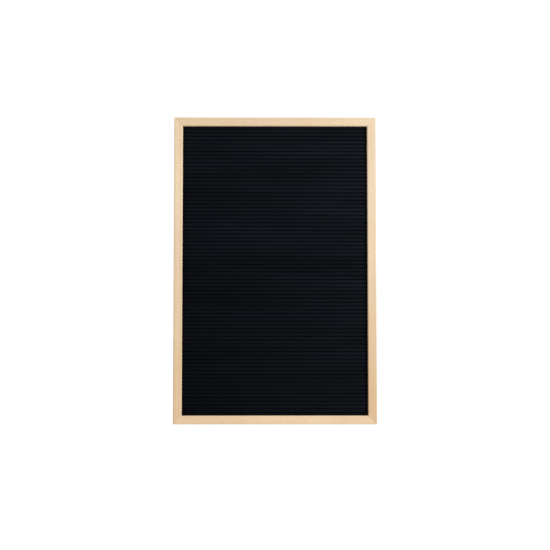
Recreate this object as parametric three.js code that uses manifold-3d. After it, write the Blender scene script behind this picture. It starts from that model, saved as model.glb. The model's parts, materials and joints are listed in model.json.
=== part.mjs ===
// A felt letter board: a mitred wooden frame round a grooved, felt-covered panel, for hanging on a wall.
// Millimetres, +Z up. The front faces -Y and the wall is the plane y = 0. The origin is on the wall,
// where the wall's nail sits in the middle notch of the sawtooth hanger.

import * as THREE from "three";
import { mergeVertices } from "three/addons/utils/BufferGeometryUtils.js";
import Module from "manifold-3d";

const wasm = await Module();
wasm.setup();

// The frame's rails.
const boardWidth = 302;
const boardHeight = 458;
const railDepth = 19;
const railFace = 13;
const rebateWidth = 4;
const lipThickness = 5;
const outerArris = 1.5;
const innerArris = 2;
const backArris = 0.5;

// Clearances.
const seatGap = 0.3; // between pieces that rest on each other
const mitreGap = 0.3; // across each corner joint
const fastenerGap = 0.3; // round a fastener in its hole or slot
const panelPlay = 0.5; // between the panel's edge and the rebate
const backRecess = 0.2; // from the rails' backs in to the backing board
const wallClearance = 0.4; // between the wall and the screws' heads
const overrun = 1; // how far a cutting tool runs past the face that it opens

// The grooved panel, its felt and its backing.
const ribPitch = 5.66;
const slitWidth = 1.1;
const slitDepth = 3.6;
const shoulderRadius = 1.4;
const feltThickness = 0.8;
const glueFilm = 0.2;
const plainEdge = 4; // the least plain edge beyond the last groove
const backingThickness = 3.2;

// V-shaped nails pressed across each mitre from the back.
const vNailLeg = 4.4;
const vNailThickness = 0.6;
const vNailHeight = 9;
const vNailSink = 0.2;
const vNailPlaceShares = { outer: 0.29, inner: 0.66 }; // shares of the back face's width

// Turn buttons and the screws that they turn on.
const buttonPivotRadius = 4;
const buttonTipRadius = 3;
const buttonReach = 14;
const buttonThickness = 0.9;
const buttonTabLength = 3.2;
const buttonTabRise = 1;
const buttonPlaceShare = 0.25; // of the rail's length, from its middle
const screwShankRadius = 1.25;
const screwLength = 10;
const screwPointLength = 2.5;
const screwHeadRadius = 2.6;
const screwHeadHeight = 1.4;
const screwRimHeight = 0.4;
const recessReach = 1.5;
const recessFloorReach = 0.6;
const recessWidth = 0.6;
const recessDepth = 0.8;

// The sawtooth hanger and its nails.
const hangerLength = 44;
const hangerBodyHeight = 5;
const hangerThickness = 0.8;
const hangerTabLength = 8;
const hangerRampLength = 2;
const hangerRise = 1.2;
const toothPitch = 3;
const toothDepth = 1.5;
const nailShankRadius = 0.6;
const nailLength = 9;
const nailPointLength = 1.6;
const nailHeadRadius = 1.6;
const nailHeadHeight = 0.5;

// Rubber bumpers that keep the lower edge off the wall.
const bumperRadius = 4;
const bumperEdgeRadius = 0.9;
const bumperInset = 26; // from the board's side

// Round shapes are cut into this many sides, and quarter arcs into this many steps.
const roundSides = 24;
const arcSteps = 5;
const shoulderSteps = 3;
const domeSteps = 4;

// Places worked out from the sizes.
const standOff = buttonThickness + screwHeadHeight + 2 * seatGap + wallClearance;
const railBackY = -standOff;
const railFrontY = railBackY - railDepth;
const backFace = railFace - rebateWidth;
const fastenerLine = backFace / 2; // fasteners stand on the middle of the back face
const topZ = fastenerLine + hangerBodyHeight / 2;
const centreZ = topZ - boardHeight / 2;
const panelWidth = boardWidth - 2 * (backFace + panelPlay);
const panelHeight = boardHeight - 2 * (backFace + panelPlay);
const feltCrestY = railFrontY + lipThickness + seatGap;
const coreFrontY = feltCrestY + feltThickness + glueFilm;
const backingFrontY = railBackY - backRecess - backingThickness;
const coreBackY = backingFrontY - seatGap;
const coreSlotWidth = slitWidth + 2 * (feltThickness + glueFilm);
const grooveCount = Math.floor((panelHeight - 2 * plainEdge) / ribPitch);
const buttonY = railBackY + seatGap;
const screwHeadY = buttonY + buttonThickness + seatGap;
const hangerY = railBackY + seatGap;
const nailHeadY = hangerY + hangerThickness + seatGap;

const wood = new THREE.MeshStandardMaterial({ color: 0xe6cba4, roughness: 0.62 });
const felt = new THREE.MeshStandardMaterial({ color: 0x101217, roughness: 0.95 });
const fibreboard = new THREE.MeshStandardMaterial({ color: 0x5a4330, roughness: 0.85 });
const hardboard = new THREE.MeshStandardMaterial({ color: 0x6f4f33, roughness: 0.8 });
const plate = new THREE.MeshStandardMaterial({ color: 0xc9c7c0, roughness: 0.35, metalness: 1 });
const steel = new THREE.MeshStandardMaterial({ color: 0xb0b0b0, roughness: 0.4, metalness: 1 });
const rubber = new THREE.MeshStandardMaterial({ color: 0x8c8a86, roughness: 0.7 });

const alongX = new THREE.Vector3(1, 0, 0);
const alongY = new THREE.Vector3(0, 1, 0);
const alongZ = new THREE.Vector3(0, 0, 1);

// Where a flat outline's two directions and its thickness go: [first, second, thickness].
const railSection = [alongZ, alongY, alongX.clone().negate()];
const backView = [alongZ, alongX, alongY];
const topView = [alongX, alongY, alongZ];

// An outline given a thickness, from one place to another.
function prism(outline, from, to, [first, second, thickness]) {
  const geometry = new THREE.ExtrudeGeometry(outline, {
    depth: to - from,
    bevelEnabled: false,
    curveSegments: arcSteps,
  });
  geometry.translate(0, 0, from);
  return geometry.applyMatrix4(new THREE.Matrix4().makeBasis(first, second, thickness));
}

// A profile of [radius, y] points turned round the Y axis.
function turned(profile) {
  const points = profile.map(([radius, y]) => new THREE.Vector2(radius, y));
  return new THREE.LatheGeometry(points, roundSides);
}

function solidOf(geometry) {
  const bare = geometry.index ? geometry.toNonIndexed() : geometry.clone();
  bare.deleteAttribute("normal");
  bare.deleteAttribute("uv");
  const merged = mergeVertices(bare);
  return new wasm.Manifold(
    new wasm.Mesh({
      numProp: 3,
      vertProperties: merged.attributes.position.array,
      triVerts: new Uint32Array(merged.index.array),
    }),
  );
}

function geometryOf(solid) {
  const { numProp, vertProperties, triVerts } = solid.getMesh();
  const corners = new Float32Array(triVerts.length * 3);
  triVerts.forEach((vertex, i) => {
    corners.set(vertProperties.subarray(vertex * numProp, vertex * numProp + 3), i * 3);
  });
  const geometry = new THREE.BufferGeometry();
  geometry.setAttribute("position", new THREE.BufferAttribute(corners, 3));
  geometry.computeVertexNormals();
  return geometry;
}

function cut(geometry, tools) {
  const solid = tools.reduce((left, tool) => left.subtract(solidOf(tool)), solidOf(geometry));
  return geometryOf(solid);
}

function common(geometry, other) {
  return geometryOf(solidOf(geometry).intersect(solidOf(other)));
}

function mesh(name, geometry, material, x = 0, y = 0, z = 0) {
  const made = new THREE.Mesh(geometry, material);
  made.name = name;
  made.position.set(x, y, z);
  return made;
}

// The rail's section, drawn as [inwards from the outer side, depth]: a front face with rounded
// arrises, the lip over the panel, the rebate behind it and a narrower back face.
function railOutline() {
  const outline = new THREE.Shape();
  const lipBackY = railFrontY + lipThickness;
  outline.moveTo(0, railFrontY + outerArris);
  outline.absarc(outerArris, railFrontY + outerArris, outerArris, Math.PI, 1.5 * Math.PI);
  outline.absarc(railFace - innerArris, railFrontY + innerArris, innerArris, 1.5 * Math.PI, 2 * Math.PI);
  outline.lineTo(railFace, lipBackY);
  outline.lineTo(backFace, lipBackY);
  outline.absarc(backFace - backArris, railBackY - backArris, backArris, 0, 0.5 * Math.PI);
  outline.absarc(backArris, railBackY - backArris, backArris, 0.5 * Math.PI, Math.PI);
  return outline;
}

// Both ends of a bar that runs along X are cut at 45 degrees, shorter as they go inwards (+Z).
function mitre(geometry, length) {
  const position = geometry.attributes.position;
  const setback = mitreGap / Math.SQRT2;
  for (let i = 0; i < position.count; i++) {
    const half = length / 2 - setback - position.getZ(i);
    position.setX(i, Math.sign(position.getX(i)) * half);
  }
  return geometry;
}

// A V seen from the back, with its corner at the origin and its legs along +X and +Z.
function vOutline(leg, thickness) {
  const half = thickness / 2;
  const outline = new THREE.Shape();
  outline.moveTo(-half, -half);
  outline.lineTo(leg, -half);
  outline.lineTo(leg, half);
  outline.lineTo(half, half);
  outline.lineTo(half, leg);
  outline.lineTo(-half, leg);
  return outline;
}

function vNail() {
  const top = railBackY - vNailSink;
  return prism(vOutline(vNailLeg, vNailThickness), top - vNailHeight, top, backView);
}

function vNailSlot() {
  const outline = vOutline(vNailLeg + fastenerGap, vNailThickness + 2 * fastenerGap);
  const floor = railBackY - vNailSink - vNailHeight - fastenerGap;
  return prism(outline, floor, railBackY + overrun, backView);
}

// The slots for the V nails at one end of a rail, in the rail's own frame.
function vNailSlots(railLength, side) {
  return Object.values(vNailPlaceShares).map((share) => {
    const inset = share * backFace;
    const slot = vNailSlot();
    // The slot's legs run inwards along the rail and across it, whichever end it is at.
    if (side > 0) slot.rotateY(-Math.PI / 2);
    return slot.translate(side * (railLength / 2 - inset), 0, inset);
  });
}

function roundHole(radius, depth, x, z) {
  const profile = [
    [0, railBackY - depth],
    [radius, railBackY - depth],
    [radius, railBackY + overrun],
    [0, railBackY + overrun],
  ];
  return turned(profile).translate(x, 0, z);
}

function screwHole(x) {
  const depth = screwLength - (screwHeadY - railBackY) + fastenerGap;
  return roundHole(screwShankRadius + fastenerGap, depth, x, fastenerLine);
}

function nailHole(x) {
  const depth = nailLength - (nailHeadY - railBackY) + fastenerGap;
  return roundHole(nailShankRadius + fastenerGap, depth, x, fastenerLine);
}

function rail(length, holes) {
  const bar = mitre(prism(railOutline(), -length / 2, length / 2, railSection), length);
  return cut(bar, [...vNailSlots(length, -1), ...vNailSlots(length, 1), ...holes]);
}

// The turn button seen from the back: round the screw at its pivot, narrower at its tip.
function buttonOutline() {
  const outline = new THREE.Shape();
  const lean = Math.asin((buttonPivotRadius - buttonTipRadius) / buttonReach);
  const shoulder = Math.PI / 2 - lean;
  outline.absarc(0, 0, buttonPivotRadius, shoulder, 2 * Math.PI - shoulder);
  outline.absarc(buttonReach, 0, buttonTipRadius, -shoulder, shoulder);
  const hole = new THREE.Path();
  const radius = screwShankRadius + fastenerGap;
  hole.absellipse(0, 0, radius, radius, 0, 2 * Math.PI);
  outline.holes.push(hole);
  return outline;
}

// The button's side view: flat, with its last stretch turned up as a finger tab.
function buttonSide() {
  const start = -buttonPivotRadius - overrun;
  const tip = buttonReach + buttonTipRadius;
  const bend = tip - buttonTabLength;
  const outline = new THREE.Shape();
  outline.moveTo(start, buttonY);
  outline.lineTo(bend, buttonY);
  outline.lineTo(tip, buttonY + buttonTabRise);
  outline.lineTo(tip, buttonY + buttonTabRise + buttonThickness);
  outline.lineTo(bend, buttonY + buttonThickness);
  outline.lineTo(start, buttonY + buttonThickness);
  return outline;
}

function turnButton() {
  const side = prism(buttonSide(), -buttonPivotRadius - overrun, buttonPivotRadius + overrun, railSection);
  const highest = buttonY + buttonTabRise + buttonThickness;
  return common(side, prism(buttonOutline(), buttonY - overrun, highest + overrun, backView));
}

// One blade of the cross recess in a screw's head, narrowing to its floor.
function recessBlade() {
  const top = screwHeadY + screwHeadHeight;
  const outline = new THREE.Shape();
  outline.moveTo(-recessReach, top + overrun);
  outline.lineTo(-recessReach, top);
  outline.lineTo(-recessFloorReach, top - recessDepth);
  outline.lineTo(recessFloorReach, top - recessDepth);
  outline.lineTo(recessReach, top);
  outline.lineTo(recessReach, top + overrun);
  return prism(outline, -recessWidth / 2, recessWidth / 2, topView);
}

// A pan-head wood screw, standing in the rail with its head to the back.
function screw() {
  const profile = [
    [0, screwHeadY - screwLength],
    [screwShankRadius, screwHeadY - screwLength + screwPointLength],
    [screwShankRadius, screwHeadY],
    [screwHeadRadius, screwHeadY],
  ];
  const domeHeight = screwHeadHeight - screwRimHeight;
  for (let step = 0; step < domeSteps; step++) {
    const turn = (step / domeSteps) * (Math.PI / 2);
    const rise = screwRimHeight + domeHeight * Math.sin(turn);
    profile.push([screwHeadRadius * Math.cos(turn), screwHeadY + rise]);
  }
  profile.push([0, screwHeadY + screwHeadHeight]);
  return cut(turned(profile), [recessBlade(), recessBlade().rotateY(Math.PI / 2)]);
}

// The sawtooth hanger seen from the back, as [height, along]: round-ended tabs, a straight upper
// edge, and teeth below whose middle notch is at the origin.
function hangerOutline() {
  const half = hangerLength / 2;
  const endRadius = hangerBodyHeight / 2;
  const teethPerSide = Math.floor((half - hangerTabLength - hangerRampLength) / toothPitch);
  const outline = new THREE.Shape();
  outline.absarc(endRadius, half - endRadius, endRadius, 0, Math.PI);
  for (let notch = teethPerSide; notch > -teethPerSide; notch--) {
    outline.lineTo(0, notch * toothPitch);
    outline.lineTo(-toothDepth, (notch - 0.5) * toothPitch);
  }
  outline.lineTo(0, -teethPerSide * toothPitch);
  outline.absarc(endRadius, endRadius - half, endRadius, Math.PI, 2 * Math.PI);
  for (const side of [-1, 1]) {
    const hole = new THREE.Path();
    const along = side * (half - hangerTabLength / 2);
    const radius = nailShankRadius + fastenerGap;
    hole.absellipse(endRadius, along, radius, radius, 0, 2 * Math.PI);
    outline.holes.push(hole);
  }
  return outline;
}

// The hanger seen from above: tabs on the rail, and a middle that stands off it for a nail's head.
function hangerBends() {
  const end = hangerLength / 2 + overrun;
  const foot = hangerLength / 2 - hangerTabLength;
  const crest = foot - hangerRampLength;
  const line = [
    [-end, 0],
    [-foot, 0],
    [-crest, hangerRise],
    [crest, hangerRise],
    [foot, 0],
    [end, 0],
  ];
  const under = line.map(([x, rise]) => new THREE.Vector2(x, hangerY + rise));
  const over = line.map(([x, rise]) => new THREE.Vector2(x, hangerY + rise + hangerThickness));
  return new THREE.Shape([...under, ...over.reverse()]);
}

function sawtoothHanger() {
  const bent = prism(hangerBends(), -toothDepth - overrun, hangerBodyHeight + overrun, topView);
  const highest = hangerY + hangerRise + hangerThickness;
  return common(bent, prism(hangerOutline(), hangerY - overrun, highest + overrun, backView));
}

function hangerNail() {
  return turned([
    [0, nailHeadY - nailLength],
    [nailShankRadius, nailHeadY - nailLength + nailPointLength],
    [nailShankRadius, nailHeadY],
    [nailHeadRadius, nailHeadY],
    [nailHeadRadius, nailHeadY + nailHeadHeight / 2],
    [nailHeadRadius / 2, nailHeadY + nailHeadHeight],
    [0, nailHeadY + nailHeadHeight],
  ]);
}

// A disc with a rounded edge on the side that meets the wall.
function bumper() {
  const profile = [
    [0, railBackY + seatGap],
    [bumperRadius, railBackY + seatGap],
  ];
  for (let step = 0; step <= domeSteps; step++) {
    const turn = (step / domeSteps) * (Math.PI / 2);
    profile.push([
      bumperRadius - bumperEdgeRadius + bumperEdgeRadius * Math.cos(turn),
      -bumperEdgeRadius + bumperEdgeRadius * Math.sin(turn),
    ]);
  }
  profile.push([0, 0]);
  return turned(profile);
}

// The heights of the grooves' middles, from the panel's own middle.
function grooveHeights() {
  return Array.from({ length: grooveCount }, (_, i) => (i - (grooveCount - 1) / 2) * ribPitch);
}

// The core's section, as [height, depth]: a board with a square slot behind each slit of the felt.
function coreOutline() {
  const floorY = coreFrontY + slitDepth;
  const halfSlot = coreSlotWidth / 2;
  const outline = new THREE.Shape();
  outline.moveTo(-panelHeight / 2, coreBackY);
  outline.lineTo(-panelHeight / 2, coreFrontY);
  for (const height of grooveHeights()) {
    outline.lineTo(height - halfSlot, coreFrontY);
    outline.lineTo(height - halfSlot, floorY);
    outline.lineTo(height + halfSlot, floorY);
    outline.lineTo(height + halfSlot, coreFrontY);
  }
  outline.lineTo(panelHeight / 2, coreFrontY);
  outline.lineTo(panelHeight / 2, coreBackY);
  return outline;
}

// One side of a slit, from the rib's flat front round its soft shoulder to the slit's floor, as
// [distance from the slit's middle, depth].
function slitSide() {
  const halfSlit = slitWidth / 2;
  const points = [];
  for (let step = 0; step <= shoulderSteps; step++) {
    const turn = (step / shoulderSteps) * (Math.PI / 2);
    const aside = shoulderRadius * (1 - Math.sin(turn));
    const back = shoulderRadius * (1 - Math.cos(turn));
    points.push([halfSlit + aside, feltCrestY + back]);
  }
  points.push([halfSlit, feltCrestY + slitDepth]);
  return points;
}

// The felt's section: it lies on the core's ribs and lines every slot, so that a narrow slit is
// left for the tabs of the letters.
function feltOutline() {
  const side = slitSide();
  const halfLining = slitWidth / 2 + feltThickness;
  const liningY = feltCrestY + feltThickness;
  const outline = new THREE.Shape();
  outline.moveTo(-panelHeight / 2, feltCrestY);
  for (const height of grooveHeights()) {
    side.forEach(([aside, y]) => outline.lineTo(height - aside, y));
    side.toReversed().forEach(([aside, y]) => outline.lineTo(height + aside, y));
  }
  outline.lineTo(panelHeight / 2, feltCrestY);
  outline.lineTo(panelHeight / 2, liningY);
  for (const height of grooveHeights().reverse()) {
    outline.lineTo(height + halfLining, liningY);
    outline.lineTo(height + halfLining, liningY + slitDepth);
    outline.lineTo(height - halfLining, liningY + slitDepth);
    outline.lineTo(height - halfLining, liningY);
  }
  outline.lineTo(-panelHeight / 2, liningY);
  return outline;
}

function panelSheet(outline) {
  return prism(outline, -panelWidth / 2, panelWidth / 2, railSection);
}

// The panel, its felt and its backing, round the middle of the board.
function insert() {
  const group = new THREE.Group();
  group.position.z = centreZ;
  group.add(mesh("felt_face", panelSheet(feltOutline()), felt));
  group.add(mesh("grooved_core", panelSheet(coreOutline()), fibreboard));
  const backing = new THREE.BoxGeometry(panelWidth, backingThickness, panelHeight);
  group.add(mesh("backing_board", backing, hardboard, 0, backingFrontY + backingThickness / 2));
  return group;
}

// Each rail's frame has its outer side at z = 0, +Z inwards and X along the rail. Its ends are
// named from -X to +X as seen from the front of the board.
const rails = [
  { name: "bottom", turn: 0, length: boardWidth, across: boardHeight, ends: ["left", "right"] },
  { name: "left", turn: Math.PI / 2, length: boardHeight, across: boardWidth, ends: ["upper", "lower"] },
  { name: "top", turn: Math.PI, length: boardWidth, across: boardHeight, ends: ["right", "left"] },
  { name: "right", turn: -Math.PI / 2, length: boardHeight, across: boardWidth, ends: ["lower", "upper"] },
];
const corners = { bottom: "bottom_left", left: "top_left", top: "top_right", right: "bottom_right" };
const hangerNailPlaces = [-1, 1].map((side) => side * (hangerLength / 2 - hangerTabLength / 2));
const buttonGeometry = turnButton();
const screwGeometry = screw();
const vNailGeometry = vNail();

function railGroup({ name, turn, length, across, ends }) {
  const group = new THREE.Group();
  const outwards = across / 2;
  group.position.z = centreZ;
  group.rotation.y = turn;
  const buttonPlaces = [-1, 1].map((side) => side * buttonPlaceShare * length);
  const holes = buttonPlaces.map(screwHole);
  if (name === "top") holes.push(...hangerNailPlaces.map(nailHole));
  group.add(mesh(`${name}_rail`, rail(length, holes), wood, 0, 0, -outwards));
  buttonPlaces.forEach((x, i) => {
    const z = fastenerLine - outwards;
    group.add(mesh(`turn_button_${name}_${ends[i]}`, buttonGeometry, plate, x, 0, z));
    group.add(mesh(`button_screw_${name}_${ends[i]}`, screwGeometry, steel, x, 0, z));
  });
  for (const [place, share] of Object.entries(vNailPlaceShares)) {
    const inset = share * backFace;
    const nailName = `v_nail_${corners[name]}_${place}`;
    group.add(mesh(nailName, vNailGeometry, steel, inset - length / 2, 0, inset - outwards));
  }
  return group;
}

// The hanger and its two nails, on the middle of the top rail's back.
function hanger() {
  const group = new THREE.Group();
  group.add(mesh("sawtooth_hanger", sawtoothHanger(), plate));
  hangerNailPlaces.forEach((x, i) => {
    const name = `hanger_nail_${["left", "right"][i]}`;
    group.add(mesh(name, hangerNail(), steel, x, 0, hangerBodyHeight / 2));
  });
  return group;
}

function bumpers() {
  const group = new THREE.Group();
  group.position.z = topZ - boardHeight + fastenerLine;
  for (const [side, name] of [
    [-1, "wall_bumper_left"],
    [1, "wall_bumper_right"],
  ]) {
    group.add(mesh(name, bumper(), rubber, side * (boardWidth / 2 - bumperInset)));
  }
  return group;
}

const letterBoard = new THREE.Group();
letterBoard.add(...rails.map(railGroup), insert(), hanger(), bumpers());

export default letterBoard;
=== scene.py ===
import json
import math

import bmesh
import bpy
from mathutils import Matrix, Vector, noise


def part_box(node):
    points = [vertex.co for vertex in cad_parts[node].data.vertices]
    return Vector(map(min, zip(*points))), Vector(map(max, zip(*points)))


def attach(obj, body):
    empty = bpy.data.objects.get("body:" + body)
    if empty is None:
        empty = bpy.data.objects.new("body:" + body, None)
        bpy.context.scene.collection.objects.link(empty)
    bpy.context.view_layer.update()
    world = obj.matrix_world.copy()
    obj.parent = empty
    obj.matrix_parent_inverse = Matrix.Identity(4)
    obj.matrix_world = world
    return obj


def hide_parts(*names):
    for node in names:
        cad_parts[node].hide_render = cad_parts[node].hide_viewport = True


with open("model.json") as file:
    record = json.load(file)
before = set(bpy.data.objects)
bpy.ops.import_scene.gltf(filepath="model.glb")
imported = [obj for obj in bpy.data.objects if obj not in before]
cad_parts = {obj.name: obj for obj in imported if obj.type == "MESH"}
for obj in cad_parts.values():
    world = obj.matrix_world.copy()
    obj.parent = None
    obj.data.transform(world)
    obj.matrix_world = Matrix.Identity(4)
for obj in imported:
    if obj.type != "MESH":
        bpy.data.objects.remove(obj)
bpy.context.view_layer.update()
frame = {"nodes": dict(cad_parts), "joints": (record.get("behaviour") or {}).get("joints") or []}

# A felt letter board for a wall: a mitred frame of pale wood round a ribbed panel of black felt.
# Metres, +Z up. The front faces -Y and the wall's plane is y = 0.

mm = 0.001
quarter = math.pi / 2

# Places read from the frame.
left_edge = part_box("left_rail")[0].x
right_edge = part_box("right_rail")[1].x
lower_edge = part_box("bottom_rail")[0].z
upper_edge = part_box("top_rail")[1].z
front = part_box("left_rail")[0].y
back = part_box("left_rail")[1].y
rail_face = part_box("left_rail")[1].x - left_edge
board_width = right_edge - left_edge
board_height = upper_edge - lower_edge
middle = Vector(((left_edge + right_edge) / 2, 0, (lower_edge + upper_edge) / 2))
felt_low, felt_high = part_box("felt_face")

# Clearances, and small lengths for cutting and merging.
seat_gap = 0.3 * mm
panel_play = 0.5 * mm
overrun = 1 * mm
weld_reach = 0.001 * mm
hair = 0.0001 * mm

corners = ["top_left", "top_right", "bottom_left", "bottom_right"]
button_places = [
    "top_left", "top_right", "bottom_left", "bottom_right",
    "left_upper", "left_lower", "right_upper", "right_lower",
]


# Mesh helpers.

edge_steps = 2
sharp_angle = math.radians(35)
flat_face_weight = 90


def finished(name, bm, body, material):
    """Turns a bmesh into a smooth-shaded piece of the board that rides on a body."""
    mesh = bpy.data.meshes.new(name)
    bm.to_mesh(mesh)
    bm.free()
    mesh.materials.append(material)
    piece = bpy.data.objects.new(name, mesh)
    bpy.context.scene.collection.objects.link(piece)
    mesh.shade_smooth()
    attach(piece, body)
    return piece


def reshaped(piece, bm):
    """Gives a piece a new mesh in place of its old one."""
    bm.to_mesh(piece.data)
    bm.free()
    piece.data.shade_smooth()


def welded(piece):
    """Merges the points that lie on each other."""
    piece.modifiers.new("weld", "WELD").merge_threshold = weld_reach


def softened(piece, width):
    """Rounds a piece's sharp edges with a live bevel."""
    bevel = piece.modifiers.new("eased_edges", "BEVEL")
    bevel.width = width
    bevel.segments = edge_steps
    bevel.limit_method = "ANGLE"
    bevel.angle_limit = sharp_angle


def eased(piece, width):
    """Rounds sharp edges, and keeps broad flat faces flat-shaded right up to the rounding."""
    softened(piece, width)
    welded(piece)
    piece.modifiers.new("level_faces", "WEIGHTED_NORMAL").weight = flat_face_weight


def only(kind, geometry):
    """The vertices, edges or faces among mixed geometry."""
    return [element for element in geometry if isinstance(element, kind)]


def extruded(bm, step):
    """Gives the faces of a flat outline their thickness."""
    grown = bmesh.ops.extrude_face_region(bm, geom=bm.faces[:], use_keep_orig=True)
    bmesh.ops.translate(bm, verts=only(bmesh.types.BMVert, grown["geom"]), vec=step)
    bmesh.ops.recalc_face_normals(bm, faces=bm.faces[:])


def cross_cut(bm, point, normal, clear=False):
    """Cuts every face along a plane, and can clear away what lies past it."""
    everything = bm.verts[:] + bm.edges[:] + bm.faces[:]
    bmesh.ops.bisect_plane(
        bm, geom=everything, plane_co=point, plane_no=normal, clear_outer=clear, dist=hair
    )


def carved(piece, cutter_bm):
    """Cuts a tool's shape out of a piece and gives back what is left, for more work."""
    tool_mesh = bpy.data.meshes.new("cutter")
    cutter_bm.to_mesh(tool_mesh)
    cutter_bm.free()
    tool = bpy.data.objects.new("cutter", tool_mesh)
    bpy.context.scene.collection.objects.link(tool)
    cut = piece.modifiers.new("cut", "BOOLEAN")
    cut.operation = "DIFFERENCE"
    cut.solver = "EXACT"
    cut.use_self = True
    cut.object = tool
    bpy.context.view_layer.update()
    bm = bmesh.new()
    bm.from_object(piece, bpy.context.evaluated_depsgraph_get())
    bmesh.ops.dissolve_degenerate(bm, edges=bm.edges[:], dist=weld_reach)
    piece.modifiers.remove(cut)
    bpy.data.objects.remove(tool)
    bpy.data.meshes.remove(tool_mesh)
    return bm


def arc(centre, radii, start, end, steps):
    """Points along part of an ellipse, both ends included."""
    points = []
    for step in range(steps + 1):
        turn = start + step / steps * (end - start)
        points.append((centre[0] + radii[0] * math.cos(turn), centre[1] + radii[1] * math.sin(turn)))
    return points


def turned(profile, steps):
    """Turns a chain of (radius, y) points round the Y axis into a closed solid."""
    bm = bmesh.new()
    chain = [bm.verts.new((radius, y, 0)) for radius, y in profile]
    edges = [bm.edges.new(pair) for pair in zip(chain, chain[1:])]
    bmesh.ops.spin(
        bm, geom=chain + edges, cent=(0, 0, 0), axis=(0, 1, 0),
        angle=2 * math.pi, steps=steps, use_merge=True,
    )
    bmesh.ops.remove_doubles(bm, verts=bm.verts[:], dist=weld_reach)
    bmesh.ops.recalc_face_normals(bm, faces=bm.faces[:])
    return bm


def ring_of(bm, centre, radius, steps):
    """A circle of edges seen from the back."""
    made = bmesh.ops.create_circle(
        bm, cap_ends=False, segments=steps, radius=radius,
        matrix=Matrix.Translation(centre) @ Matrix.Rotation(quarter, 4, "X"),
    )
    return made["verts"]


def plate_of(bm, thickness):
    """Fills the outlines of a flat plate, holes and all, and gives it its thickness."""
    bmesh.ops.triangle_fill(
        bm, use_beauty=True, use_dissolve=False, edges=bm.edges[:], normal=(0, 1, 0)
    )
    extruded(bm, (0, thickness, 0))


# Shader helpers. Most values of a noise lie between its low and its high.

noise_low = 0.3
noise_high = 0.7


def add(tree, kind, **settings):
    """A new node with its settings."""
    made = tree.nodes.new(kind)
    for key, value in settings.items():
        setattr(made, key, value)
    return made


def feed(tree, target, source):
    """Links a socket, or sets it when the source is a plain value."""
    if isinstance(source, bpy.types.NodeSocket):
        tree.links.new(source, target)
    else:
        target.default_value = source


def arithmetic(tree, operation, first, second=0.0):
    made = add(tree, "ShaderNodeMath", operation=operation)
    feed(tree, made.inputs[0], first)
    feed(tree, made.inputs[1], second)
    return made.outputs[0]


def scaled(tree, value, factor):
    return arithmetic(tree, "MULTIPLY", value, factor)


def summed(tree, first, second):
    return arithmetic(tree, "ADD", first, second)


def stretched(tree, vector, scale):
    """Draws a pattern out along the axes whose scale is small."""
    made = add(tree, "ShaderNodeVectorMath", operation="MULTIPLY")
    feed(tree, made.inputs[0], vector)
    made.inputs[1].default_value = scale
    return made.outputs[0]


def coordinate(tree, vector, axis):
    made = add(tree, "ShaderNodeSeparateXYZ")
    feed(tree, made.inputs[0], vector)
    return made.outputs[axis]


def speckle(tree, vector, scale, detail, roughness=0.5):
    """Plain noise of a scale in marks per metre."""
    made = add(tree, "ShaderNodeTexNoise")
    feed(tree, made.inputs["Vector"], vector)
    feed(tree, made.inputs["Scale"], scale)
    made.inputs["Detail"].default_value = detail
    made.inputs["Roughness"].default_value = roughness
    return made.outputs["Fac"]


def streaks(tree, vector, squeeze, scale, detail, roughness=0.5):
    """Noise drawn out along X, the longer the smaller its squeeze."""
    return speckle(tree, stretched(tree, vector, (squeeze, 1, 1)), scale, detail, roughness)


def swirled(tree, vector, scale, reach):
    """Bends a pattern's coordinates about, so that its lines curve every way."""
    drift = add(tree, "ShaderNodeTexNoise")
    feed(tree, drift.inputs["Vector"], vector)
    feed(tree, drift.inputs["Scale"], scale)
    drift.inputs["Detail"].default_value = 1.0
    centred = add(tree, "ShaderNodeVectorMath", operation="SUBTRACT")
    feed(tree, centred.inputs[0], drift.outputs["Color"])
    centred.inputs[1].default_value = (0.5, 0.5, 0.5)
    aside = add(tree, "ShaderNodeVectorMath", operation="SCALE")
    feed(tree, aside.inputs[0], centred.outputs[0])
    feed(tree, aside.inputs["Scale"], reach)
    moved = add(tree, "ShaderNodeVectorMath", operation="ADD")
    feed(tree, moved.inputs[0], aside.outputs[0])
    feed(tree, moved.inputs[1], vector)
    return moved.outputs[0]


def spread(tree, value, low, high, to_low=0.0, to_high=1.0):
    """Maps one range of a value to another, and holds it at their ends."""
    made = add(tree, "ShaderNodeMapRange")
    feed(tree, made.inputs["Value"], value)
    made.inputs["From Min"].default_value = low
    made.inputs["From Max"].default_value = high
    made.inputs["To Min"].default_value = to_low
    made.inputs["To Max"].default_value = to_high
    return made.outputs["Result"]


def evened(tree, value, to_low=0.0, to_high=1.0):
    """Maps the usual range of a noise to the one that is wanted."""
    return spread(tree, value, noise_low, noise_high, to_low, to_high)


def between(tree, share, low, high):
    """The value that lies a share of the way from low to high."""
    return spread(tree, share, 0, 1, low, high)


def blended(tree, share, first, second, mode="MIX"):
    made = add(tree, "ShaderNodeMix", data_type="RGBA", blend_type=mode)
    feed(tree, made.inputs[0], share)
    feed(tree, made.inputs[6], first)
    feed(tree, made.inputs[7], second)
    return made.outputs[2]


def tinted(tree, colour, tint):
    return blended(tree, 1.0, colour, tint, "MULTIPLY")


def shaded(tree, colour, share):
    """Lightens or darkens a colour by a share that changes over the surface."""
    shade = add(tree, "ShaderNodeCombineColor")
    for channel in ("Red", "Green", "Blue"):
        feed(tree, shade.inputs[channel], share)
    return tinted(tree, colour, shade.outputs["Color"])


def grey(shade):
    return (shade, shade, shade, 1)


def toned(colour, factor):
    """A plain colour made lighter or darker."""
    return tuple(factor * channel for channel in colour[:3]) + (1,)


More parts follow.
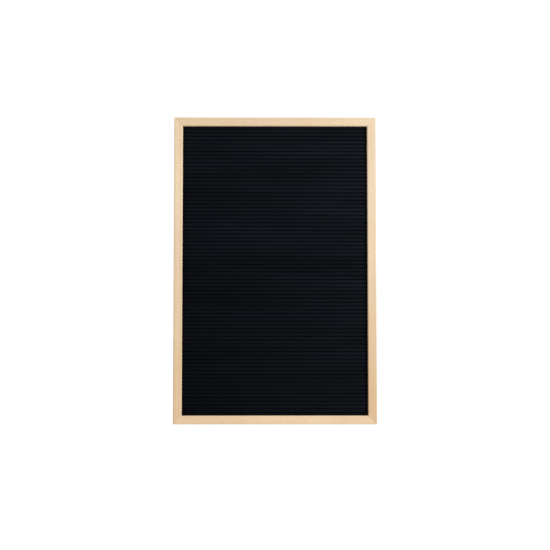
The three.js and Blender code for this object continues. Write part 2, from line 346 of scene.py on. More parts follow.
def new_group(name, inputs, outputs):
    """A shader group with named sockets: (name, kind, default) in, names of values out."""
    group = bpy.data.node_groups.new(name, "ShaderNodeTree")
    for label, kind, default in inputs:
        socket = group.interface.new_socket(label, in_out="INPUT", socket_type=kind)
        if default is not None:
            socket.default_value = default
    for label in outputs:
        group.interface.new_socket(label, in_out="OUTPUT", socket_type="NodeSocketFloat")
    return group, add(group, "NodeGroupInput"), add(group, "NodeGroupOutput")


def new_material(name):
    material = bpy.data.materials.new(name)
    material.use_nodes = True
    tree = material.node_tree
    return material, tree, tree.nodes["Principled BSDF"]


def placed(tree, group, vector, **values):
    """Puts a shader group into a material with its own values."""
    made = add(tree, "ShaderNodeGroup", node_tree=group)
    feed(tree, made.inputs["Vector"], vector)
    for label, value in values.items():
        made.inputs[label.replace("_", " ")].default_value = value
    return made.outputs


def object_place(tree, offset=(0, 0, 0), turn=(0, 0, 0)):
    """Object coordinates, moved and turned so that a pattern lies along its piece."""
    place = add(tree, "ShaderNodeTexCoord")
    mapping = add(tree, "ShaderNodeMapping")
    feed(tree, mapping.inputs["Vector"], place.outputs["Object"])
    mapping.inputs["Location"].default_value = offset
    mapping.inputs["Rotation"].default_value = turn
    return mapping.outputs["Vector"]


def bumped(tree, shader, height, distance, strength):
    bump = add(tree, "ShaderNodeBump")
    bump.inputs["Strength"].default_value = strength
    bump.inputs["Distance"].default_value = distance
    feed(tree, bump.inputs["Height"], height)
    feed(tree, shader.inputs["Normal"], bump.outputs["Normal"])


# Shader groups.

def make_straight_grain():
    """Growth rings cut lengthwise, fine fibres, pores and slow changes of tone, X along the grain."""
    pith_place = (0, 60 * mm, 110 * mm)
    pith_lean = 0.012
    ring_wander = 2.2
    ring_start_shade = 0.12
    ring_shades = [(0.3, 0.0), (0.72, 0.45), (0.9, 1.0)]
    group, start, end = new_group(
        "straight_grain",
        [("Vector", "NodeSocketVector", None), ("Ring Width", "NodeSocketFloat", 3 * mm)],
        ["Late Wood", "Fibre", "Pore", "Tone", "Flush"],
    )
    place = start.outputs["Vector"]
    pith = add(group, "ShaderNodeVectorMath", operation="DISTANCE")
    feed(group, pith.inputs[0], stretched(group, place, (pith_lean, 1, 1)))
    pith.inputs[1].default_value = pith_place
    rings = arithmetic(group, "DIVIDE", pith.outputs["Value"], start.outputs["Ring Width"])
    wander = streaks(group, place, squeeze=0.05, scale=60, detail=2)
    rings = summed(group, rings, scaled(group, wander, ring_wander))
    ramp = add(group, "ShaderNodeValToRGB")
    feed(group, ramp.inputs["Fac"], arithmetic(group, "FRACT", rings))
    ramp.color_ramp.interpolation = "EASE"
    for ring_end in ramp.color_ramp.elements:
        ring_end.color = grey(ring_start_shade)
    for position, shade in ring_shades:
        ramp.color_ramp.elements.new(position).color = grey(shade)
    fibre = streaks(group, place, squeeze=0.03, scale=1900, detail=3, roughness=0.6)
    pore = streaks(group, place, squeeze=0.06, scale=3200, detail=1)
    tone = streaks(group, place, squeeze=0.2, scale=26, detail=1)
    flush = streaks(group, place, squeeze=0.7, scale=34, detail=1)
    feed(group, end.inputs["Late Wood"], ramp.outputs["Color"])
    feed(group, end.inputs["Fibre"], fibre)
    feed(group, end.inputs["Pore"], spread(group, pore, 0.62, 0.74))
    feed(group, end.inputs["Tone"], evened(group, tone))
    feed(group, end.inputs["Flush"], evened(group, flush))
    return group


def make_matted_fibres():
    """Short tangled fibres: fine flecks, tufts and soft clumps of a pressed surface."""
    # Fibres are drawn out along X or Z. The other patterns' scales are shares of the fibres' own.
    lying_draw = (0.24, 1, 1.5)
    upright_draw = (1.6, 1, 0.28)
    curl_share = 0.11
    tuft_share = 0.25
    clump_share = 0.03
    tuft_rise = 0.8
    group, start, end = new_group(
        "matted_fibres",
        [
            ("Vector", "NodeSocketVector", None),
            ("Scale", "NodeSocketFloat", 1000.0),
            ("Curl", "NodeSocketFloat", 7 * mm),
        ],
        ["Fleck", "Tuft", "Clump", "Height"],
    )
    place = start.outputs["Vector"]
    scale = start.outputs["Scale"]
    bent = swirled(group, place, scaled(group, scale, curl_share), start.outputs["Curl"])
    lying = speckle(group, stretched(group, bent, lying_draw), scale, detail=3, roughness=0.65)
    upright = speckle(group, stretched(group, bent, upright_draw), scale, detail=3, roughness=0.65)
    tangle = arithmetic(group, "MAXIMUM", lying, upright)
    tuft = speckle(group, place, scaled(group, scale, tuft_share), detail=2)
    clump = speckle(group, place, scaled(group, scale, clump_share), detail=2)
    feed(group, end.inputs["Fleck"], spread(group, tangle, 0.52, 0.78))
    feed(group, end.inputs["Tuft"], evened(group, tuft))
    feed(group, end.inputs["Clump"], evened(group, clump))
    feed(group, end.inputs["Height"], summed(group, tangle, scaled(group, tuft, tuft_rise)))
    return group


def make_handled_metal():
    """Fine rolling lines, a few curved scratches, and dull patches from hands and tools."""
    rolling_draw = (1, 1, 0.04)
    rolling_relief = 0.35
    group, start, end = new_group(
        "handled_metal",
        [("Vector", "NodeSocketVector", None)],
        ["Rolled", "Scratch", "Patch", "Height"],
    )
    place = start.outputs["Vector"]
    rolled = speckle(group, stretched(group, place, rolling_draw), scale=5200, detail=2, roughness=0.6)
    bent = swirled(group, place, scale=140, reach=9 * mm)
    one_way = speckle(group, stretched(group, bent, (0.05, 1, 1.4)), scale=1900, detail=1)
    other_way = speckle(group, stretched(group, bent, (1.2, 1, 0.07)), scale=1500, detail=1)
    scratch = spread(group, arithmetic(group, "MAXIMUM", one_way, other_way), 0.7, 0.8)
    patch = spread(group, speckle(group, place, scale=260, detail=4, roughness=0.6), 0.35, 0.68)
    relief = arithmetic(group, "SUBTRACT", scaled(group, rolled, rolling_relief), scratch)
    feed(group, end.inputs["Rolled"], evened(group, rolled))
    feed(group, end.inputs["Scratch"], scratch)
    feed(group, end.inputs["Patch"], patch)
    feed(group, end.inputs["Height"], relief)
    return group


straight_grain = make_straight_grain()
matted_fibres = make_matted_fibres()
handled_metal = make_handled_metal()


# Materials.

def pale_wood(name, offset, turn, ring_width, axis, drift, tint):
    """Pale straight-grained wood under a thin matt varnish, with painted shade darkening it towards one
    end.
    """
    cream = (0.893, 0.717, 0.491, 1)
    rosy = (0.851, 0.658, 0.474, 1)
    flush_tint = (0.96, 0.945, 0.9, 1)
    late_brown = (0.67, 0.452, 0.265, 1)
    pore_brown = (0.42, 0.27, 0.15, 1)
    late_share = 0.42
    pore_share = 0.22
    late_rise = 0.6
    material, tree, shader = new_material(name)
    grain = placed(tree, straight_grain, object_place(tree, offset, turn), Ring_Width=ring_width)
    early = blended(tree, grain["Tone"], cream, rosy)
    early = blended(tree, grain["Flush"], early, tinted(tree, early, flush_tint))
    colour = blended(tree, scaled(tree, grain["Late Wood"], late_share), early, late_brown)
    colour = shaded(tree, colour, evened(tree, grain["Fibre"], 0.93, 1.05))
    colour = blended(tree, scaled(tree, grain["Pore"], pore_share), colour, pore_brown)
    # Painted shade: the colour darkens towards one end of the rail, standing in for light falling off away
    # from the upper right.
    painted_shade = spread(tree, coordinate(tree, object_place(tree), axis), *drift)
    colour = blended(tree, painted_shade, colour, tinted(tree, colour, tint))
    feed(tree, shader.inputs["Base Color"], colour)
    feed(tree, shader.inputs["Roughness"], between(tree, grain["Late Wood"], 0.58, 0.48))
    shader.inputs["Specular IOR Level"].default_value = 0.35
    relief = summed(tree, grain["Fibre"], scaled(tree, grain["Late Wood"], late_rise))
    relief = arithmetic(tree, "SUBTRACT", relief, grain["Pore"])
    bumped(tree, shader, relief, distance=0.03 * mm, strength=0.6)
    return material


def black_felt():
    """Short dense black felt with a cool cast, its nap in long streaks, with painted light making it
    lighter at its top and right and painted shade darkening its foot.
    """
    deep = (0.0004, 0.0008, 0.0023, 1)
    deep_lit_and_raised = (0.0048, 0.0057, 0.0096, 1)
    fibre = (0.0029, 0.0039, 0.0072, 1)
    fibre_lit_and_raised = (0.0156, 0.0173, 0.0236, 1)
    lint_grey = (0.05, 0.05, 0.055, 1)
    # From left to right and from bottom to top, painted light lightens the felt by these shares, for the
    # light from the upper right; in soft clouds its nap stands up by the last share.
    painted_light_across = (-0.15, 0.45)
    painted_light_upwards = (0, 0.4)
    raised_in_clouds = 0.35
    lay_shades = (0.66, 1.34)
    foot_shades = (0.81, 0.98)
    foot_height = 110 * mm
    material, tree, shader = new_material("black_felt")
    place = object_place(tree)
    across = coordinate(tree, place, "X")
    upwards = coordinate(tree, place, "Z")
    fibres = placed(tree, matted_fibres, place, Scale=2600, Curl=2.6 * mm)
    # Painted light: the felt is made lighter towards its right and its top.
    painted_light_and_nap = spread(tree, across, felt_low.x, felt_high.x, *painted_light_across)
    painted_light_and_nap = summed(tree, painted_light_and_nap, spread(tree, upwards, felt_low.z, felt_high.z, *painted_light_upwards))
    clouds = speckle(tree, place, scale=9, detail=2)
    painted_light_and_nap = summed(tree, painted_light_and_nap, scaled(tree, clouds, raised_in_clouds))
    ground = blended(tree, painted_light_and_nap, deep, deep_lit_and_raised)
    fleck = blended(tree, painted_light_and_nap, fibre, fibre_lit_and_raised)
    colour = blended(tree, spread(tree, fibres["Fleck"], 0, 0.7, 0, 0.9), ground, fleck)
    lint = speckle(tree, place, scale=900, detail=2, roughness=0.7)
    colour = blended(tree, spread(tree, lint, 0.7, 0.8, 0, 0.3), colour, lint_grey)
    lay = evened(tree, streaks(tree, place, squeeze=0.1, scale=45, detail=3), *lay_shades)
    # Painted shade: the felt darkens towards its foot, standing in for light falling off downwards.
    foot_end = felt_low.z + foot_height
    painted_foot_shade = spread(tree, upwards, foot_end, foot_end + foot_height, *foot_shades)
    colour = shaded(tree, colour, scaled(tree, lay, painted_foot_shade))
    feed(tree, shader.inputs["Base Color"], colour)
    feed(tree, shader.inputs["Roughness"], between(tree, fibres["Tuft"], 0.86, 0.98))
    shader.inputs["Specular IOR Level"].default_value = 0.08
    shader.inputs["Sheen Weight"].default_value = 0.02
    shader.inputs["Sheen Roughness"].default_value = 0.55
    shader.inputs["Sheen Tint"].default_value = (0.75, 0.82, 1.0, 1)
    bumped(tree, shader, fibres["Height"], distance=0.3 * mm, strength=1.0)
    return material


def pressed_board(name, pale, dark, scale, rough):
    """Brown board of pressed wood fibres, its colour even but for single fibres and shives."""
    fibre_share = 0.4
    fibre_gain = 1.5
    shive_share = 0.4
    shive_gain = 0.4
    shive_draw = (1, 1, 0.2)
    rough_range = 0.15
    material, tree, shader = new_material(name)
    fibres = placed(tree, matted_fibres, object_place(tree), Scale=scale)
    colour = blended(tree, between(tree, fibres["Clump"], 0.35, 0.65), dark, pale)
    single = scaled(tree, fibres["Fleck"], fibre_share)
    colour = blended(tree, single, colour, toned(pale, fibre_gain))
    bent = swirled(tree, object_place(tree, offset=(0.4, 0, 0.2)), scale=0.06 * scale, reach=20 * mm)
    shive = speckle(tree, stretched(tree, bent, shive_draw), scale=0.6 * scale, detail=1)
    shive = spread(tree, shive, 0.68, 0.78, 0, shive_share)
    colour = blended(tree, shive, colour, toned(dark, shive_gain))
    feed(tree, shader.inputs["Base Color"], colour)
    feed(tree, shader.inputs["Roughness"], between(tree, fibres["Tuft"], rough, rough + rough_range))
    bumped(tree, shader, fibres["Height"], distance=0.06 * mm, strength=0.5)
    return material


def plated_metal(name, bright, dull, smooth, rough):
    """Zinc-plated steel with fine scratches and duller patches."""
    scratch_rough = 0.12
    rolled_rough = 0.07
    material, tree, shader = new_material(name)
    wear = placed(tree, handled_metal, object_place(tree))
    feed(tree, shader.inputs["Base Color"], blended(tree, wear["Patch"], bright, dull))
    scratched = scaled(tree, wear["Scratch"], scratch_rough)
    worn = summed(tree, scratched, scaled(tree, wear["Rolled"], rolled_rough))
    worn = summed(tree, worn, between(tree, wear["Patch"], smooth, rough))
    feed(tree, shader.inputs["Roughness"], worn)
    shader.inputs["Metallic"].default_value = 1.0
    bumped(tree, shader, wear["Height"], distance=0.008 * mm, strength=0.35)
    return material


def soft_rubber():
    """Grey rubber, matt and a little dusty."""
    rubber_grey = (0.19, 0.185, 0.175, 1)
    dusty_grey = (0.26, 0.25, 0.235, 1)
    material, tree, shader = new_material("bumper_rubber")
    fibres = placed(tree, matted_fibres, object_place(tree), Scale=1400)
    feed(tree, shader.inputs["Base Color"], blended(tree, fibres["Tuft"], rubber_grey, dusty_grey))
    feed(tree, shader.inputs["Roughness"], between(tree, fibres["Clump"], 0.55, 0.75))
    bumped(tree, shader, fibres["Height"], distance=0.02 * mm, strength=0.5)
    return material


# Each rail's own plank: where its grain is cut and how it is turned, the width of its rings, and
# along which axis, from where to where and to what tint painted shade darkens it, away from the upper
# right.
lying = (0, 0, 0)
upright = (0, quarter, 0)
planks = {
    "top": ((0.31, 0.02, 0.004), lying, 3.1 * mm, "X", (0.12, -0.13), (0.93, 0.90, 0.84, 1)),
    "bottom": ((1.37, 0.03, 0.013), lying, 3.1 * mm, "X", (0.5, -0.15), (0.96, 0.91, 0.82, 1)),
    "left": ((2.11, 0.014, 0.008), upright, 3.6 * mm, "Z", (-0.1, -0.4), (0.872, 0.815, 0.735, 1)),
    "right": ((3.53, 0.036, 0.019), upright, 3.4 * mm, "Z", (-0.19, -0.41), (0.86, 0.775, 0.655, 1)),
}
wood_of = {rail: pale_wood(f"wood_{rail}", *plank) for rail, plank in planks.items()}
felt = black_felt()
fibreboard = pressed_board(
    "fibreboard", pale=(0.125, 0.072, 0.038, 1), dark=(0.082, 0.045, 0.024, 1), scale=1700, rough=0.7
)
hardboard = pressed_board(
    "hardboard", pale=(0.2, 0.108, 0.054, 1), dark=(0.15, 0.078, 0.038, 1), scale=1500, rough=0.5
)
zinc_plate = plated_metal(
    "zinc_plate", bright=(0.73, 0.73, 0.715, 1), dull=(0.63, 0.63, 0.62, 1), smooth=0.36, rough=0.48
)
zinc_steel = plated_metal(
    "zinc_steel", bright=(0.7, 0.7, 0.69, 1), dull=(0.52, 0.52, 0.51, 1), smooth=0.3, rough=0.46
)
rubber = soft_rubber()


# The frame's rails. A rail is made lying along X with its outer side at z = 0 and +Z inwards.

back_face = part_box("backing_board")[0].x - panel_play - left_edge
lip_back = felt_low.y - seat_gap
outer_arris = 1.5 * mm
inner_arris = 2 * mm
back_arris = 0.5 * mm
lip_arris = 0.3 * mm
arris_steps = 8
corner_round = 1.8 * mm
corner_steps = 5
seam = 0.08 * mm
rail_edge = 0.12 * mm
v_nail_thickness = 0.6 * mm
v_nail_grip = 0.04 * mm
v_nail_edge = 0.06 * mm
button_hole = 1.55 * mm
nail_hole = 0.9 * mm
bore_steps = 24

# How far each rail is turned, its length, and how far its outer side lies from the middle.
rails = {
    "bottom": (0, board_width, board_height / 2),
    "left": (quarter, board_height, board_width / 2),
    "top": (math.pi, board_width, board_height / 2),
    "right": (-quarter, board_height, board_width / 2),
}


def mitred_length(length):
    """A length of the L-shaped section with rounded arrises, cut at 45 degrees at both ends."""
    plan = [
        ((0, front), outer_arris),
        ((rail_face, front), inner_arris),
        ((rail_face, lip_back), lip_arris),
        ((back_face, lip_back), 0),
        ((back_face, back), back_arris),
        ((0, back), back_arris),
    ]
    bm = bmesh.new()
    points = [bm.verts.new((-length / 2 - overrun, y, inwards)) for (inwards, y), _ in plan]
    bm.faces.new(points)
    for point, (_, radius) in zip(points, plan):
        if radius:
            bmesh.ops.bevel(
                bm, geom=[point], offset=radius, offset_type="OFFSET", segments=arris_steps,
                profile=0.5, affect="VERTICES", material=-1,
            )
    extruded(bm, (length + 2 * overrun, 0, 0))
    for side in (-1, 1):
        cross_cut(bm, (side * (length / 2 - seam / 2), 0, 0), (side, 0, 1), clear=True)
        bmesh.ops.holes_fill(bm, edges=bm.edges[:], sides=0)
    bmesh.ops.recalc_face_normals(bm, faces=bm.faces[:])
    return bm


def round_corners(bm, length):
    """Bends the outer end of each mitre round a small corner radius shared with its neighbour."""
    for side in (-1, 1):
        for step in range(1, corner_steps + 1):
            inset = step / corner_steps * corner_round
            cross_cut(bm, (side * (length / 2 - inset), 0, 0), (1, 0, 0))
    for v in bm.verts:
        inwards = v.co.z
        from_end = length / 2 - abs(v.co.x)
        if inwards < corner_round and from_end < corner_round:
            radius = corner_round - inwards
            turn = quarter / 2 * (corner_round - from_end) / radius
            side = math.copysign(1, v.co.x)
            v.co.x = side * (length / 2 - corner_round + radius * math.sin(turn))
            v.co.z = corner_round - radius * math.cos(turn)


def add_v_nail_slots(bm, rail):
    """The slots that the V nails were pressed into at both ends of a rail."""
    for corner in corners:
        if rail not in corner.split("_"):
            continue
        outer_x = -1 if "left" in corner else 1
        outer_z = 1 if "top" in corner else -1
        for place in ("outer", "inner"):
            low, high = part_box(f"v_nail_{corner}_{place}")
            centre = (low + high) / 2
            reach = (high.x - low.x) / 2
            # An L seen from the back, its corner towards the board's own corner.
            far = reach + v_nail_grip
            near = reach - v_nail_thickness - v_nail_grip
            plan = [(far, far), (-far, far), (-far, near), (near, near), (near, -far), (far, -far)]
            points = [
                bm.verts.new((centre.x + outer_x * x, low.y - v_nail_grip, centre.z + outer_z * z))
                for x, z in plan
            ]
            bm.faces.new(points)
    extruded(bm, (0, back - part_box("v_nail_top_left_outer")[0].y + overrun, 0))


def add_bores(bm, rail):
    """The holes for the turn buttons' screws, and in the top rail for the hanger's nails."""
    ours = [place for place in button_places if rail == place.split("_")[0]]
    bores = [(f"button_screw_{place}", button_hole) for place in ours]
    if rail == "top":
        bores += [(f"hanger_nail_{side}", nail_hole) for side in ("left", "right")]
    for node, radius in bores:
        low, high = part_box(node)
        start = low.y - seat_gap
        end = back + overrun
        place = Matrix.Translation(((low.x + high.x) / 2, (start + end) / 2, (low.z + high.z) / 2))
        bmesh.ops.create_cone(
            bm, cap_ends=True, segments=bore_steps, radius1=radius, radius2=radius, depth=end - start,
            matrix=place @ Matrix.Rotation(quarter, 4, "X"),
        )


def make_rail(name):
    """One rail with its mitred and rounded ends, its slots and its holes."""
    turn, length, outwards = rails[name]
    place = Matrix.Translation(middle) @ Matrix.Rotation(turn, 4, "Y")
    place = place @ Matrix.Translation((0, 0, -outwards))
    cutter = bmesh.new()
    add_v_nail_slots(cutter, name)
    add_bores(cutter, name)
    cutter.transform(place.inverted())
    piece = finished(f"rail_{name}", mitred_length(length), "frame", wood_of[name])
    bm = carved(piece, cutter)
    round_corners(bm, length)
    bm.transform(place)
    reshaped(piece, bm)
    eased(piece, rail_edge)
    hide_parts(f"{name}_rail")


# The felt, one sheet down the ribs and into every slit.

rib_pitch = 5.66 * mm
slit_width = 1.1 * mm
slit_depth = 3.6 * mm
shoulder = 1.4 * mm
shoulder_steps = 5
plain_edge = 4 * mm
rib_crown = 0.12 * mm
felt_thickness = 0.7 * mm
felt_steps = 30
felt_wave = 0.07 * mm
slit_wander = 0.13 * mm

# How fast each unevenness changes along a rib, its jump from rib to rib, and its seed.
lift_pattern = (60, 3.1, 0)
sway_pattern = (45, 5.7, 9)
wander_pattern = (7, 7.3, 4)


def felt_line():
    """The sheet's front from bottom to top, as (z, y) points."""
    height = felt_high.z - felt_low.z
    grooves = math.floor((height - 2 * plain_edge) / rib_pitch)
    crest = felt_low.y
    bend = arc(
        (slit_width / 2 + shoulder, crest + shoulder), (shoulder, shoulder),
        -quarter, -2 * quarter, shoulder_steps,
    )
    bend.append((slit_width / 2, crest + slit_depth))
    line = [(felt_low.z, crest)]
    for groove in range(grooves):
        centre = middle.z + (groove - (grooves - 1) / 2) * rib_pitch
        line += [(centre - aside, y) for aside, y in bend]
        line += [(centre + aside, y) for aside, y in reversed(bend)]
        if groove < grooves - 1:
            line.append((centre + rib_pitch / 2, crest - rib_crown))
    line.append((felt_high.z, crest))
    return line


def uneven(pattern, along, rib):
    """A smooth random share along a rib."""
    rate, jump, seed = pattern
    return noise.noise(Vector((along * rate, rib * jump, seed)))


def make_felt():
    """The felt sheet, drawn across the board from its section and left a little uneven."""
    line = felt_line()
    bm = bmesh.new()
    chain = [bm.verts.new((felt_low.x, y, z)) for z, y in line]
    edges = [bm.edges.new(pair) for pair in zip(chain, chain[1:])]
    step = (felt_high.x - felt_low.x) / felt_steps
    for _ in range(felt_steps):
        grown = bmesh.ops.extrude_edge_only(bm, edges=edges)["geom"]
        bmesh.ops.translate(bm, verts=only(bmesh.types.BMVert, grown), vec=(step, 0, 0))
        # Only the chain's own new edges go on, and the cross edges stay behind.
        edges = [
            e for e in only(bmesh.types.BMEdge, grown)
            if abs(e.verts[0].co.x - e.verts[1].co.x) < step / 2
        ]
    bm.normal_update()
    if sum(f.normal.y for f in bm.faces) > 0:
        bmesh.ops.reverse_faces(bm, faces=bm.faces[:])
    for v in bm.verts:
        rib = round((v.co.z - middle.z) / rib_pitch)
        v.co.y += felt_wave * uneven(lift_pattern, v.co.x, rib)
        v.co.z += felt_wave * uneven(sway_pattern, v.co.x, rib)
        v.co.z += slit_wander * uneven(wander_pattern, v.co.x, rib)
    piece = finished("felt_sheet", bm, "frame", felt)
    thick = piece.modifiers.new("thickness", "SOLIDIFY")
    thick.thickness = felt_thickness
    thick.offset = -1
    thick.use_even_offset = True
    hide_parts("felt_face")


# The panel behind the felt, whose solids keep their own shape.

core_edge = 0.05 * mm
backing_edge = 0.25 * mm


def dress_node(node, material, edge):
    """Gives a solid that keeps its own shape its finish, and softens its edges a little."""
    piece = frame["nodes"][node]
    piece.data.materials.clear()
    piece.data.materials.append(material)
    welded(piece)
    softened(piece, edge)


# The turn buttons and their screws. A button is made with its tip towards +Z.

button_pivot = 4 * mm
button_tip = 3 * mm
button_reach = 14 * mm
button_thickness = 0.9 * mm
button_edge = 0.12 * mm
button_steps = 48
button_hole_steps = 32
tab_length = 3.2 * mm
tab_rise = 1 * mm
shank_radius = 1.25 * mm
point_length = 2.5 * mm
head_radius = 2.6 * mm
head_height = 1.4 * mm
head_rim = 0.4 * mm
dome_steps = 9
screw_steps = 40
recess_reach = 1.5 * mm
recess_floor = 0.6 * mm
recess_width = 0.6 * mm
recess_depth = 0.8 * mm
thread_pitch = 1.1 * mm
thread_height = 0.28 * mm
thread_root = 0.1 * mm
thread_flank = 0.3 * thread_pitch
thread_start = 1.6 * mm
thread_end = 0.2 * mm
thread_steps_per_turn = 20
point_share = 0.2
least_point_share = 0.15

button_turns = {"top": math.pi, "bottom": 0, "left": quarter, "right": -quarter}


def joint_of(place):
    """Where a turn button's screw stands, from its joint."""
    joint = next(j for j in frame["joints"] if j["child"] == f"button_{place}")
    return Vector((joint["pos_m"][0], 0, joint["pos_m"][2]))


def make_button(place):
    """A pressed plate, round at its screw and narrower at its tip, with a turned-up finger tab."""
    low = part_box(f"turn_button_{place}")[0]
    bm = bmesh.new()
    outline = ring_of(bm, (0, low.y, 0), button_pivot, button_steps)
    tip = [v for v in outline if v.co.z > -hair]
    narrowing = button_tip / button_pivot
    bmesh.ops.scale(bm, verts=tip, vec=(narrowing, 1, narrowing))
    bmesh.ops.translate(bm, verts=tip, vec=(0, 0, button_reach))
    ring_of(bm, (0, low.y, 0), button_hole, button_hole_steps)
    plate_of(bm, button_thickness)
    bend = button_reach + button_tip - tab_length
    cross_cut(bm, (0, 0, bend), (0, 0, 1))
    for v in bm.verts:
        if v.co.z > bend:
            v.co.y += tab_rise * (v.co.z - bend) / tab_length
    turn = Matrix.Rotation(button_turns[place.split("_")[0]], 4, "Y")
    bm.transform(Matrix.Translation(joint_of(place)) @ turn)
    piece = finished(f"button_plate_{place}", bm, f"button_{place}", zinc_plate)
    eased(piece, button_edge)
    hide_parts(f"turn_button_{place}")


def cross_cutter(top):
    """A tapered cross that presses the driver's recess into a screw's head."""
    above = top + overrun
    floor = top - recess_depth
    plan = [
        (-recess_reach, above), (-recess_reach, top), (-recess_floor, floor),
        (recess_floor, floor), (recess_reach, top), (recess_reach, above),
    ]
    bm = bmesh.new()
    for turn in (0, quarter):
        points = [bm.verts.new((x, y, -recess_width / 2)) for x, y in plan]
        face = bm.faces.new(points)
        grown = bmesh.ops.extrude_face_region(bm, geom=[face], use_keep_orig=True)
        fresh = only(bmesh.types.BMVert, grown["geom"])
        bmesh.ops.translate(bm, verts=fresh, vec=(0, 0, recess_width))
        bmesh.ops.rotate(
            bm, verts=points + fresh, cent=(0, 0, 0), matrix=Matrix.Rotation(turn, 3, "Y")
        )
    bmesh.ops.recalc_face_normals(bm, faces=bm.faces[:])
    return bm


def add_thread(bm, start, end):
    """A helical ridge round the shank, fading out towards the point."""
    turns = (start - end) / thread_pitch
    plan = [
        (shank_radius - thread_root, start + thread_flank),
        (shank_radius + thread_height, start),
        (shank_radius - thread_root, start - thread_flank),
    ]
    points = [bm.verts.new((radius, y, 0)) for radius, y in plan]
    face = bm.faces.new(points)
    before = set(bm.verts) - set(points)
    bmesh.ops.spin(
        bm, geom=[face], cent=(0, 0, 0), axis=(0, 1, 0),
        dvec=(0, -thread_pitch / thread_steps_per_turn, 0), angle=2 * math.pi * turns,
        steps=round(turns * thread_steps_per_turn), use_merge=False,
    )
    for v in set(bm.verts) - before:
        share = min(1, (v.co.y - end) / point_length + point_share)
        v.co.x *= max(least_point_share, share)
        v.co.z *= max(least_point_share, share)


def make_screw(place):
    """A pan-head screw with a cross recess, standing in its rail."""
    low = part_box(f"button_screw_{place}")[0]
    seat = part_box(f"turn_button_{place}")[0].y + button_thickness + seat_gap
    profile = [(0, low.y), (shank_radius, low.y + point_length), (shank_radius, seat), (head_radius, seat)]
    profile += arc(
        (0, seat + head_rim), (head_radius, head_height - head_rim), 0, quarter, dome_steps
    )
    bm = turned(profile, screw_steps)
    piece = finished(f"screw_{place}", bm, "frame", zinc_steel)
    bm = carved(piece, cross_cutter(seat + head_height))
    add_thread(bm, seat - thread_start, low.y + thread_end)
    bmesh.ops.recalc_face_normals(bm, faces=bm.faces[:])
    bm.transform(Matrix.Translation(joint_of(place)))
    reshaped(piece, bm)
    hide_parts(f"button_screw_{place}")


# The sawtooth hanger and its nails.

hanger_tab = 8 * mm
hanger_ramp = 2 * mm
hanger_ramp_steps = 4
hanger_rise = 1.2 * mm
hanger_thickness = 0.8 * mm
hanger_edge = 0.1 * mm
hanger_end_steps = 16
tooth_pitch = 3 * mm
tooth_depth = 1.5 * mm
nail_hole_steps = 24
nail_shank = 0.6 * mm
nail_point = 1.6 * mm
nail_rim = 0.1 * mm
nail_dome_steps = 8
nail_steps = 32
nail_edge = 0.04 * mm


def hanger_outline(half, end_radius):
    """The strip seen from the back as (x, z) points, its ends round and its foot toothed."""
    teeth = round((half - hanger_tab - hanger_ramp) / tooth_pitch)
    round_end = (end_radius, end_radius)
    outline = arc((half - end_radius, end_radius), round_end, quarter, -quarter, hanger_end_steps)
    for notch in range(teeth, -teeth, -1):
        outline.append((notch * tooth_pitch, 0))
        outline.append(((notch - 0.5) * tooth_pitch, -tooth_depth))
    outline.append((-teeth * tooth_pitch, 0))
    outline += arc((end_radius - half, end_radius), round_end, -quarter, -3 * quarter, hanger_end_steps)
    return outline


def make_hanger():
    """A strip nailed to the rail at both ends, its middle bent to stand off it."""
    low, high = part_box("sawtooth_hanger")
    half = (high.x - low.x) / 2
    end_radius = high.z / 2
    bm = bmesh.new()
    points = [bm.verts.new((x, low.y, z)) for x, z in hanger_outline(half, end_radius)]
    for pair in zip(points, points[1:] + points[:1]):
        bm.edges.new(pair)
    for side in (-1, 1):
        ring_of(bm, (side * (half - hanger_tab / 2), low.y, end_radius), nail_hole, nail_hole_steps)
    plate_of(bm, hanger_thickness)
    painted_foot_shade = half - hanger_tab
    for side in (-1, 1):
        for step in range(hanger_ramp_steps + 1):
            aside = painted_foot_shade - step / hanger_ramp_steps * hanger_ramp
            cross_cut(bm, (side * aside, 0, 0), (1, 0, 0))
    for v in bm.verts:
        share = min(1, max(0, (painted_foot_shade - abs(v.co.x)) / hanger_ramp))
        v.co.y += hanger_rise * share * share * (3 - 2 * share)
    piece = finished("hanger_strip", bm, "frame", zinc_plate)
    eased(piece, hanger_edge)
    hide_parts("sawtooth_hanger")


def make_hanger_nail(side):
    """A short nail with a domed head."""
    low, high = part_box(f"hanger_nail_{side}")
    centre = (low + high) / 2
    head = (high.x - low.x) / 2
    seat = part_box("sawtooth_hanger")[0].y + hanger_thickness + seat_gap
    dome = seat + nail_rim
    profile = [(0, low.y), (nail_shank, low.y + nail_point), (nail_shank, seat), (head, seat)]
    profile += arc((0, dome), (head, high.y - dome), 0, quarter, nail_dome_steps)
    bm = turned(profile, nail_steps)
    bm.transform(Matrix.Translation((centre.x, 0, centre.z)))
    piece = finished(f"hanger_pin_{side}", bm, "frame", zinc_steel)
    eased(piece, nail_edge)
    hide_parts(f"hanger_nail_{side}")


# The wall bumpers.

bumper_round = 0.9 * mm
bumper_foot = 0.2 * mm
bumper_round_steps = 8
bumper_steps = 56
bumper_edge = 0.05 * mm


def make_bumper(side):
    """A round rubber button with a soft outer edge."""
    low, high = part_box(f"wall_bumper_{side}")
    centre = (low + high) / 2
    radius = (high.x - low.x) / 2
    profile = [(0, low.y), (radius - bumper_foot, low.y), (radius, low.y + bumper_foot)]
    profile += arc(
        (radius - bumper_round, high.y - bumper_round), (bumper_round, bumper_round),
        0, quarter, bumper_round_steps,
    )
    profile.append((0, high.y))
    bm = turned(profile, bumper_steps)
    bm.transform(Matrix.Translation((centre.x, 0, centre.z)))
    piece = finished(f"bumper_{side}", bm, "frame", rubber)
    eased(piece, bumper_edge)
    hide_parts(f"wall_bumper_{side}")


# The whole board.

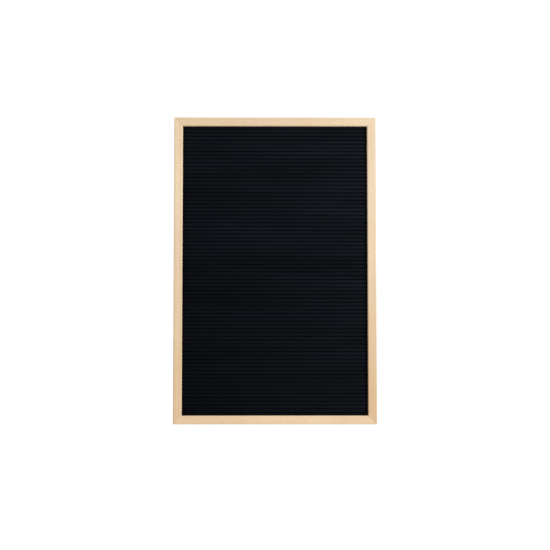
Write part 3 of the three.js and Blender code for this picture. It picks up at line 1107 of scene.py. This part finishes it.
for rail_name in rails:
    make_rail(rail_name)
make_felt()
dress_node("grooved_core", fibreboard, core_edge)
dress_node("backing_board", hardboard, backing_edge)
for button_place in button_places:
    make_button(button_place)
    make_screw(button_place)
for nail_corner in corners:
    for nail_place in ("outer", "inner"):
        dress_node(f"v_nail_{nail_corner}_{nail_place}", zinc_steel, v_nail_edge)
make_hanger()
for board_side in ("left", "right"):
    make_hanger_nail(board_side)
    make_bumper(board_side)


# The studio: a pale floor far below the hung board, and soft light from above and the right.

eye_distance = 1.9
eye_left = 0.015
eye_below = 0.13
aim_below = 0.0078
lens_length = 83.75
sensor_width = 36
far_clip = 50
sky_fill = 0.4
sky_seen = 1.05
floor_drop = 0.62
floor_radius = 2.2
floor_fade_share = 0.25
floor_steps = 96

# Where each light stands, its size and its power.
lights = {
    "key": ((2.6, -2.8, 0.9), 1.5, 105),
    "fill": ((-1.8, -2.6, -0.1), 1.8, 14),
    "back_left": ((-2.1, 2.3, 1.0), 2.8, 36),
    "back_right": ((2.1, 2.3, 1.0), 2.8, 36),
}


def facing(place, aim):
    """The turn of a camera or light that looks from a place at an aim."""
    return (Vector(aim) - Vector(place)).to_track_quat("-Z", "Y").to_euler()


def make_camera():
    camera = bpy.data.cameras.new("camera")
    camera.lens = lens_length
    camera.sensor_width = sensor_width
    camera.clip_end = far_clip
    holder = bpy.data.objects.new("camera", camera)
    bpy.context.scene.collection.objects.link(holder)
    holder.location = (middle.x - eye_left, front - eye_distance, middle.z - eye_below)
    holder.rotation_euler = facing(holder.location, (middle.x, front, middle.z - aim_below))
    bpy.context.scene.camera = holder


def make_light(name, place, size, power):
    """A square light that faces the middle of the board."""
    light = bpy.data.lights.new(name, "AREA")
    light.shape = "SQUARE"
    light.size = size
    light.energy = power
    holder = bpy.data.objects.new(name, light)
    bpy.context.scene.collection.objects.link(holder)
    holder.location = place
    holder.rotation_euler = facing(place, (middle.x, front, middle.z))


def make_world():
    """White behind the board, and a weaker even fill on it."""
    world = bpy.data.worlds.new("studio")
    bpy.context.scene.world = world
    world.use_nodes = True
    tree = world.node_tree
    background = tree.nodes["Background"]
    background.inputs["Color"].default_value = (1, 1, 1, 1)
    path = add(tree, "ShaderNodeLightPath")
    strength = between(tree, path.outputs["Is Camera Ray"], sky_fill, sky_seen)
    feed(tree, background.inputs["Strength"], strength)


def make_floor():
    """A pale round floor that fades away towards its rim."""
    warm_white = (0.86, 0.855, 0.84, 1)
    white = (0.9, 0.895, 0.88, 1)
    bm = bmesh.new()
    bmesh.ops.create_circle(
        bm, cap_ends=True, segments=floor_steps, radius=floor_radius,
        matrix=Matrix.Translation((0, 0, lower_edge - floor_drop)),
    )
    mesh = bpy.data.meshes.new("floor")
    bm.to_mesh(mesh)
    bm.free()
    material, tree, shader = new_material("floor")
    place = object_place(tree)
    cloud = speckle(tree, place, scale=3, detail=3)
    feed(tree, shader.inputs["Base Color"], blended(tree, cloud, warm_white, white))
    shader.inputs["Roughness"].default_value = 0.7
    reach = add(tree, "ShaderNodeVectorMath", operation="LENGTH")
    feed(tree, reach.inputs[0], stretched(tree, place, (1, 1, 0)))
    fade = spread(tree, reach.outputs["Value"], floor_fade_share * floor_radius, floor_radius, 1, 0)
    feed(tree, shader.inputs["Alpha"], fade)
    mesh.materials.append(material)
    floor = bpy.data.objects.new("floor", mesh)
    bpy.context.scene.collection.objects.link(floor)


make_camera()
make_world()
make_floor()
for light_name, light_values in lights.items():
    make_light(light_name, *light_values)
bpy.context.scene.view_settings.view_transform = "Standard"
bpy.context.scene.view_settings.look = "None"
